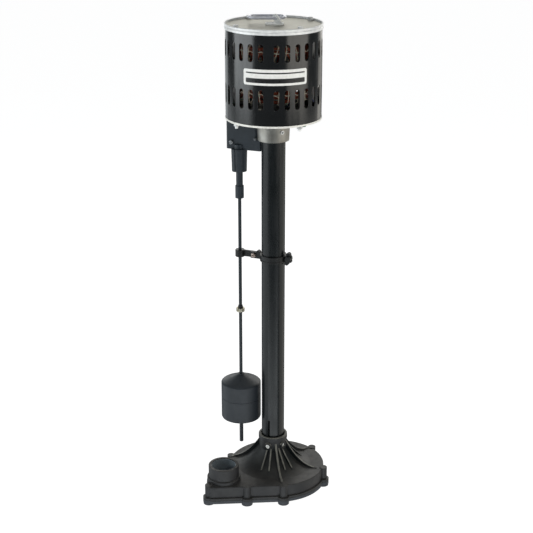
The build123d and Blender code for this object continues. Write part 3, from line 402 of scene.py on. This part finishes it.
warm_zinc = plated("warm_zinc", (206, 184, 172), (228, 210, 200), 0.24)
yellow_zinc = plated("yellow_zinc", (192, 185, 164), (214, 209, 192), 0.3)
bronze = plated("bronze", (168, 128, 78), (190, 150, 98), 0.4, grain_mm=0.4, grain_depth_mm=0.02)
steel = brushed("steel", (138, 138, 136), (172, 172, 170), 0.3)
laminations = brushed("laminations", (84, 84, 86), (128, 128, 130), 0.42, stretch=(30.0, 30.0, 1.0))
cast = cast_metal("die_cast")
cover_sheet = drawn_cover("cover_sheet")
copper = enamelled_wire("copper_winding", (108, 46, 30), (170, 88, 60))
rubber = soft_plain("black_rubber", (22, 22, 22), (34, 34, 33), 0.62)
phenolic = soft_plain("thermal_plastic", (168, 158, 134), (190, 182, 158), 0.5)
green_zinc = plated("ground_green", (34, 120, 74), (60, 152, 100), 0.3)
insulation = soft_plain("slot_insulation", (190, 180, 156), (216, 208, 186), 0.6)

BY_SLOT = {
    "casing_plastic": casing_black, "float_plastic": float_black, "switch_plastic": switch_black,
    "impeller_plastic": nylon_black, "black_paint": clamp_enamel, "rod_coating": rod_enamel,
    "zinc_plate": zinc, "die_cast": cast, "steel": steel, "warm_zinc": warm_zinc, "yellow_zinc": yellow_zinc,
    "bronze": bronze, "copper_winding": copper, "black_rubber": rubber, "thermal_plastic": phenolic,
    "ground_green": green_zinc,
}
BY_NODE = {
    "motor_shell": shell_enamel, "column_tube": tube_enamel, "motor_top_cover": cover_sheet,
    "lifting_ring": ring_zinc, "ring_bracket": bracket_zinc, "bracket_rivets": bracket_zinc,
    "stator_core": laminations, "slot_wedges": insulation, "switch_front_screws": screw_zinc,
    "socket_set_screw": bracket_zinc, "through_bolts": bolt_zinc, "base_plate": base_black,
    "lower_stop": base_black,
}
for subpart in frame["record"]["subparts"]:
    node = frame["nodes"][subpart["node"]]
    finish = BY_NODE.get(subpart["node"], BY_SLOT[subpart["material_slot"]])
    if not node.data.materials:
        node.data.materials.append(finish)
    for index in range(len(node.data.materials)):
        node.data.materials[index] = finish


# ---------------------------------------------------------------- pieces the frame has no node for
def add_piece(data, name, material, body):
    """Link one new piece to the scene and let it ride on a body."""
    data.materials.append(material)
    piece = bpy.data.objects.new(name, data)
    scene.collection.objects.link(piece)
    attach(piece, body)
    return piece


def wires(name, paths, radius_mm, material, closed=False, kind="POLY", sides=1):
    """Round wires along paths of (x, y, z) in millimetres, as one piece on the pump body."""
    curve = bpy.data.curves.new(name, "CURVE")
    curve.dimensions = "3D"
    curve.bevel_depth = radius_mm * MM
    curve.bevel_resolution = sides
    curve.use_fill_caps = not closed
    curve.resolution_u = 8
    for path in paths:
        spline = curve.splines.new(kind)
        spline.points.add(len(path) - 1)
        for point, place in zip(spline.points, path):
            point.co = (place[0] * MM, place[1] * MM, place[2] * MM, 1.0)
        spline.use_cyclic_u = closed
        if kind == "NURBS":
            spline.order_u = 3
            spline.use_endpoint_u = True
    return add_piece(curve, name, material, "pump_body")


def mesh_piece(name, points, faces, material, body):
    """A mesh from points in millimetres."""
    mesh = bpy.data.meshes.new(name)
    mesh.from_pydata([(x * MM, y * MM, z * MM) for x, y, z in points], [], faces)
    mesh.validate()
    for polygon in mesh.polygons:
        polygon.use_smooth = True
    mesh.set_sharp_from_angle(angle=math.radians(30.0))
    return add_piece(mesh, name, material, body)


def polar(radius, angle, height):
    """Point at a radius and an angle in degrees round the column."""
    turn = math.radians(angle)
    return (radius * math.cos(turn), radius * math.sin(turn), height)


COIL_STEPS = 26
WIRE_GRID = (4, 3)                  # wires across and up one bundle
WIRE_PITCH = 1.35
WIRE_RADIUS = 0.62
WIRE_STRAY = 0.3                    # how far a wire may lie from its place in the bundle
COIL_SPANS = (82.0, 56.0, 30.0)     # the nested coils of one pole, in degrees
POLES = 4
PHASES = ((55.3, 0.0, 1.0), (47.6, 45.0, 0.86))     # radius, first pole's angle, height of the phase
COIL_ENDS = ((737.0, 19.5), (704.0, -25.5))         # face of the core, and how far the coils stand off it
LOOP_STEPS = 20
LOOP_RADII = (43.2, 60.2)           # inside and outside of the coil ends under a lacing loop
LOOP_ROWS = ((737.6, 24.6, 24, 4.0), (703.4, -30.6, 24, 9.0))       # base, height, loops, first angle
LACING_RUNS = ((60.6, 752.0, 1.6, 60), (60.8, 688.0, 2.0, 60))      # radius, level, swing, points
LACING_RADIUS = 0.55


def coil_wire(radius, middle, span, base, height, across, up, wobble):
    """One wire's end turn, out of the core, along an arc and back in."""
    path = []
    for step in range(COIL_STEPS + 1):
        part = 2.0 * step / COIL_STEPS - 1.0
        rise = 1.0 - abs(part) ** 5
        angle = middle + 0.5 * span * part * (1.0 - 0.05 * (1.0 - rise))
        drift = 0.35 * math.sin(3.1 * part + wobble)
        out = radius + across * rise * 0.9 + across * 0.5 * (1.0 - rise) + drift
        sway = 0.3 * math.sin(4.0 * part + 2.0 * wobble)
        level = base + height * rise + math.copysign(up, height) * rise + sway
        path.append(polar(out, angle, level if rise > 0.02 else base - math.copysign(1.5, height)))
    return path


def winding_end(base, height):
    """Every wire of the coil ends on one side of the core, two phases of nested coils."""
    paths = []
    middle_column = (WIRE_GRID[0] - 1) / 2
    for radius, first_angle, tall in PHASES:
        for pole in range(POLES):
            middle = first_angle + 360.0 / POLES * pole
            for rank, span in enumerate(COIL_SPANS):
                reach = height * tall * (1.0 - 0.27 * rank)
                for column in range(WIRE_GRID[0]):
                    for row in range(WIRE_GRID[1]):
                        across = (column - middle_column) * WIRE_PITCH
                        across += random.uniform(-WIRE_STRAY, WIRE_STRAY)
                        up = row * WIRE_PITCH + random.uniform(-WIRE_STRAY, WIRE_STRAY)
                        wobble = random.uniform(0.0, 6.28)
                        paths.append(coil_wire(radius, middle, span, base, reach, across, up, wobble))
    return paths


def lacing_loops(base, height, count, first_angle):
    """Cord loops tied round the coil ends."""
    loops = []
    inner, outer = LOOP_RADII
    middle = (inner + outer) / 2
    for turn in range(count):
        angle = first_angle + 360.0 / count * turn + random.uniform(-3.0, 3.0)
        lean = random.uniform(-4.0, 4.0)
        loop = []
        for step in range(LOOP_STEPS):
            phase = 2.0 * math.pi * step / LOOP_STEPS
            reach = math.copysign(abs(math.cos(phase)) ** 0.6, math.cos(phase))
            rise = math.copysign(abs(math.sin(phase)) ** 0.6, math.sin(phase))
            radius = middle + (outer - middle) * reach
            level = base + height * (0.5 + 0.5 * rise)
            loop.append(polar(radius, angle + lean * rise, level))
        loops.append(loop)
    return loops


def lacing_run(radius, level, swing, count):
    """The cord that runs from loop to loop round the coil ends."""
    path = []
    for step in range(count):
        out = radius + 0.4 * math.sin(7.0 * step)
        path.append(polar(out, 360.0 / count * step, level + swing * math.sin(2.3 * step)))
    return path


random.seed(11)
coils = [path for facts in COIL_ENDS for path in winding_end(*facts)]
winding = wires("winding_wires", coils, WIRE_RADIUS, copper)
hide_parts("stator_windings")
lacing_cream = soft_plain("lacing_cord", (196, 186, 164), (224, 216, 198), 0.7, sheen=0.3)
loops = [path for facts in LOOP_ROWS for path in lacing_loops(*facts)]
wires("lacing_loops", loops, LACING_RADIUS, lacing_cream, closed=True)
runs = [lacing_run(*facts) for facts in LACING_RUNS]
wires("lacing_runs", runs, LACING_RADIUS, lacing_cream, closed=True)

LEAD_RADIUS = 1.25
LEADS = {                           # dark and light of the sleeve, and the way from the cord's hole
    "lead_green": ((18, 96, 72), (30, 128, 96), [
        (22.0, 52.0, 642.0), (24.0, 55.0, 652.0), (10.0, 66.0, 660.0), (-40.0, 56.0, 662.0),
        (-66.0, 20.0, 660.0), (-65.0, -16.0, 657.0), (-52.0, -36.0, 654.0), (-34.0, -56.0, 651.0),
        (0.0, -68.0, 650.0), (34.0, -58.0, 649.5), (44.5, -50.5, 648.6)]),
    "lead_blue": ((36, 46, 84), (56, 66, 112), [
        (20.5, 50.0, 642.0), (26.0, 50.0, 656.0), (48.0, 42.0, 668.0), (65.0, 20.0, 670.0),
        (66.0, -10.0, 668.0), (62.0, -30.0, 672.0), (54.0, -40.0, 684.0), (54.0, -34.0, 694.0)]),
    "lead_white": ((206, 204, 198), (228, 226, 220), [
        (23.5, 50.5, 642.0), (30.0, 52.0, 654.0), (54.0, 42.0, 674.0), (66.0, 22.0, 690.0),
        (69.0, 2.0, 694.0), (68.0, -14.0, 690.0), (60.0, -14.0, 694.0)]),
}
for lead, (dark, light, route) in LEADS.items():
    sleeve = soft_plain(lead, dark, light, 0.4, grain_mm=1.5)
    wires(lead, [route], LEAD_RADIUS, sleeve, kind="NURBS", sides=3)

BUNDLE_SLEEVES = (("bundle_brown", (66, 30, 22), (92, 46, 34)), ("bundle_black", (24, 24, 26), (38, 38, 40)))
BUNDLE_AT = 64.9                    # radius between the shade sheets and the through bolts
BUNDLE_LEVELS = (743.0, 747.5, 752.0, 756.5, 675.0, 679.5, 684.0, 688.5)
BUNDLE_LEAD_RADIUS = 1.5
BUNDLE_START = 2.0                  # angle of the first lead's end, and how far the next are staggered
BUNDLE_STAGGER = 9.0
BUNDLE_SWEEP = 170.0
BUNDLE_STEPS = 16


def bundle_path(level, start, wobble):
    """A lead that wanders round outside the coil ends, from its start angle."""
    path = []
    for step in range(BUNDLE_STEPS + 1):
        out = BUNDLE_AT + 0.3 * math.sin(1.7 * step + wobble)
        sway = 0.7 * math.sin(1.1 * step + 2.0 * wobble)
        path.append(polar(out, start + BUNDLE_SWEEP * step / BUNDLE_STEPS, level + sway))
    return path


for index, (sleeve_name, dark, light) in enumerate(BUNDLE_SLEEVES):
    sleeve = soft_plain(sleeve_name, dark, light, 0.45, grain_mm=1.5)
    routes = [bundle_path(level, BUNDLE_START + BUNDLE_STAGGER * (rank % 3), rank)
              for rank, level in enumerate(BUNDLE_LEVELS) if rank % 2 == index]
    wires(sleeve_name, routes, BUNDLE_LEAD_RADIUS, sleeve, kind="NURBS", sides=3)

THREAD_AT = (-83.0, -59.0)
THREAD_PITCH = 25.4 / 11.5
THREAD_ROOT = 20.75                 # 0.15 into the wall of the bore, so that no gap shows
THREAD_FADED = THREAD_ROOT - 0.2    # radius of the crest where the thread has run out
THREAD_CREST = 19.5
THREAD_HALF_ROOT = 0.98             # half the ridge's width at its root and at its crest
THREAD_HALF_CREST = 0.16
THREAD_Z = (35.0, 58.4)             # where the thread starts and ends
THREAD_STEPS = 72                   # in one turn
THREAD_FADE_STEPS = 24              # a third of a turn at each end


def strip_faces(count):
    """Faces of a strip of count segments between rings of four points, closed at both ends."""
    faces = []
    for step in range(count):
        for corner in range(4):
            low = 4 * step + corner
            side = 4 * step + (corner + 1) % 4
            faces.append((low, low + 4, side + 4, side))
    faces.append((0, 1, 2, 3))
    faces.append(tuple(4 * count + corner for corner in (3, 2, 1, 0)))
    return faces


def thread_ridge():
    """Helical ridge of the pipe thread, fading out at both ends."""
    points = []
    turns = (THREAD_Z[1] - THREAD_Z[0]) / THREAD_PITCH
    count = int(turns * THREAD_STEPS)
    for step in range(count + 1):
        angle = 2.0 * math.pi * step / THREAD_STEPS
        level = THREAD_Z[0] + THREAD_PITCH * step / THREAD_STEPS
        fade = min(1.0, step / THREAD_FADE_STEPS, (count - step) / THREAD_FADE_STEPS)
        crest = THREAD_FADED - (THREAD_FADED - THREAD_CREST) * fade
        for radius, shift in ((THREAD_ROOT, -THREAD_HALF_ROOT), (crest, -THREAD_HALF_CREST),
                              (crest, THREAD_HALF_CREST), (THREAD_ROOT, THREAD_HALF_ROOT)):
            points.append((THREAD_AT[0] + radius * math.cos(angle), THREAD_AT[1] + radius * math.sin(angle),
                           level + shift))
    return points, [face[:1] + face[:0:-1] for face in strip_faces(count)]


thread_points, thread_faces = thread_ridge()
# painted light: the thread is far paler than the casing it is part of, standing in for light on the inner
# wall of the discharge
thread_plastic = moulded_plastic("thread_plastic", (112, 122, 130), (134, 143, 150), 0.4)
mesh_piece("discharge_thread", thread_points, thread_faces, thread_plastic, "pump_body")

PANEL_COLUMNS = 72


def curved_panel(radius, thickness, left, right, bottom, top, corner):
    """A panel with rounded corners wrapped on a cylinder; left and right are degrees from the front."""
    points = []
    for column in range(PANEL_COLUMNS + 1):
        angle = left + (right - left) * column / PANEL_COLUMNS
        inset = min(angle - left, right - angle) * math.radians(1.0) * radius
        cut = 0.0
        if inset < corner:
            cut = corner - math.sqrt(max(0.0, corner ** 2 - (corner - inset) ** 2))
        lower, upper = bottom + cut, top - cut
        for depth, level in ((0.0, lower), (thickness, lower), (thickness, upper), (0.0, upper)):
            points.append(polar(radius + depth, angle - 90.0, level))
    return points, strip_faces(PANEL_COLUMNS)


SHADE_SHEET_RADIUS = 62.5
SHADE_SHEET_THICKNESS = 0.4
SHADE_SHEET_CORNER = 3.0
SHADE_SHEET_SPANS = (                     # name, left and right in degrees from the front, bottom, top
    ("shade_sheet_left_upper", -142.0, -62.0, 738.0, 768.0), ("shade_sheet_right_upper", 62.0, 142.0, 738.0, 768.0),
    ("shade_sheet_left_lower", -142.0, -62.0, 668.0, 703.0), ("shade_sheet_right_lower", 72.0, 142.0, 668.0, 703.0),
)
# painted shade: near-black sheets behind the shell's slots, standing in for the shade inside the motor
slot_shade_film = soft_plain("slot_shade_film", (26, 26, 28), (40, 38, 37), 0.4, grain_mm=3.0, sheen=0.2)
for name, left, right, bottom, top in SHADE_SHEET_SPANS:
    panel_points, panel_faces = curved_panel(SHADE_SHEET_RADIUS, SHADE_SHEET_THICKNESS, left, right, bottom, top,
                                             SHADE_SHEET_CORNER)
    mesh_piece(name, panel_points, panel_faces, slot_shade_film, "pump_body")

decal_pale = soft_plain("decal_pale", (222, 222, 218), (236, 236, 233), 0.35, depth_mm=0.004)
decal_dark = soft_plain("decal_dark", (24, 25, 26), (30, 31, 32), 0.3, depth_mm=0.004)
DECAL_PANELS = (                    # name, radius, thickness, left, right, bottom, top, corner, material
    ("decal_field", 75.0, 0.1, -37.0, 41.0, 706.0, 730.0, 2.5, decal_pale),
    ("decal_band_wide", 75.1, 0.06, -34.0, 38.0, 709.5, 716.5, 0.6, decal_dark),
    ("decal_band_thin", 75.1, 0.06, -34.0, 38.0, 723.5, 725.5, 0.4, decal_dark),
)
for name, radius, thickness, left, right, bottom, top, corner, material in DECAL_PANELS:
    panel_points, panel_faces = curved_panel(radius, thickness, left, right, bottom, top, corner)
    mesh_piece(name, panel_points, panel_faces, material, "pump_body")


# ---------------------------------------------------------------- floor and light
FLOOR_HALF = 30.0
FLOOR_GLOW = 0.96

floor_mesh = bpy.data.meshes.new("floor")
floor_mesh.from_pydata([(-FLOOR_HALF, -FLOOR_HALF, 0.0), (FLOOR_HALF, -FLOOR_HALF, 0.0),
                        (FLOOR_HALF, FLOOR_HALF, 0.0), (-FLOOR_HALF, FLOOR_HALF, 0.0)], [], [(0, 1, 2, 3)])
floor = bpy.data.objects.new("floor", floor_mesh)
floor_material = bpy.data.materials.new("floor")
floor_material.use_nodes = True
floor_shader = floor_material.node_tree.nodes["Principled BSDF"]
floor_shader.inputs["Base Color"].default_value = (0.3, 0.3, 0.3, 1.0)
floor_shader.inputs["Roughness"].default_value = 0.9
floor_shader.inputs["Specular IOR Level"].default_value = 0.0
floor_shader.inputs["Emission Color"].default_value = (1.0, 1.0, 1.0, 1.0)
floor_shader.inputs["Emission Strength"].default_value = FLOOR_GLOW
floor_mesh.materials.append(floor_material)
floor.visible_glossy = False      # black enamel would mirror it as a grey haze
floor.visible_shadow = False      # the tall side boxes reach below it
scene.collection.objects.link(floor)


def softbox(name, bearing, distance, width, low, high, radiance, tint):
    """Upright area light hidden from the camera; its bearing is degrees to the right of the front."""
    turn = math.radians(bearing)
    middle = (low + high) / 2
    data = bpy.data.lights.new(name, "AREA")
    data.shape = "RECTANGLE"
    data.size = width
    data.size_y = high - low
    data.energy = radiance * math.pi * width * (high - low)
    data.color = tint
    lamp = bpy.data.objects.new(name, data)
    lamp.location = (distance * math.sin(turn), -distance * math.cos(turn), middle)
    lamp.rotation_euler = (Vector((0.0, 0.0, middle)) - lamp.location).to_track_quat("-Z", "Y").to_euler()
    lamp.visible_camera = False
    scene.collection.objects.link(lamp)
    return lamp


COOL, WARM, NEUTRAL = (0.93, 0.98, 1.0), (1.0, 0.96, 0.88), (1.0, 0.99, 0.96)
SOFTBOXES = (                       # name, bearing, distance, width, low, high, radiance, tint
    ("box_left", -76.0, 1.9, 2.0, 0.27, 1.15, 2.4, COOL),
    ("box_right", 58.0, 1.9, 1.95, 0.27, 1.15, 1.6, WARM),
    ("box_low_left", -95.0, 1.9, 3.0, -1.3, 0.22, 0.6, COOL),
    ("box_low_right", 102.0, 1.9, 3.0, -1.3, 0.22, 0.55, WARM),
    ("box_low_front", -4.0, 1.6, 4.0, -1.7, -0.5, 1.35, COOL),
    ("box_back", 172.0, 2.3, 2.9, 0.35, 2.9, 1.15, NEUTRAL),
    ("box_back_left", -151.0, 2.2, 1.1, 0.1, 1.9, 0.7, COOL),
    ("box_back_right", 141.0, 2.2, 1.1, 0.1, 1.9, 0.7, WARM),
)
for softbox_facts in SOFTBOXES:
    softbox(*softbox_facts)
fill = softbox("box_fill", 14.0, 2.0, 1.2, 1.0, 1.9, 2.6, NEUTRAL)
fill.visible_glossy = False       # a mirror image of it would wash out the dark middle of the enamel
top_box = softbox("box_top", 0.0, 0.2, 1.6, 1.6, 3.2, 0.5, NEUTRAL)
top_box.rotation_euler = (math.radians(-5.0), 0.0, 0.0)

world = bpy.data.worlds.new("studio")
world.use_nodes = True
world_nodes = world.node_tree.nodes
world_links = world.node_tree.links
background = world_nodes["Background"]
background.inputs["Color"].default_value = (0.85, 0.95, 1.0, 1.0)
background.inputs["Strength"].default_value = 0.1
backdrop = world_nodes.new("ShaderNodeBackground")
backdrop.inputs["Color"].default_value = (1.0, 1.0, 1.0, 1.0)
backdrop.inputs["Strength"].default_value = 1.0
seen = world_nodes.new("ShaderNodeLightPath")
choice = world_nodes.new("ShaderNodeMixShader")
world_links.new(seen.outputs["Is Camera Ray"], choice.inputs["Fac"])
world_links.new(background.outputs["Background"], choice.inputs[1])
world_links.new(backdrop.outputs["Background"], choice.inputs[2])
world_links.new(choice.outputs["Shader"], world_nodes["World Output"].inputs["Surface"])
scene.world = world
scene.view_settings.view_transform = "Standard"
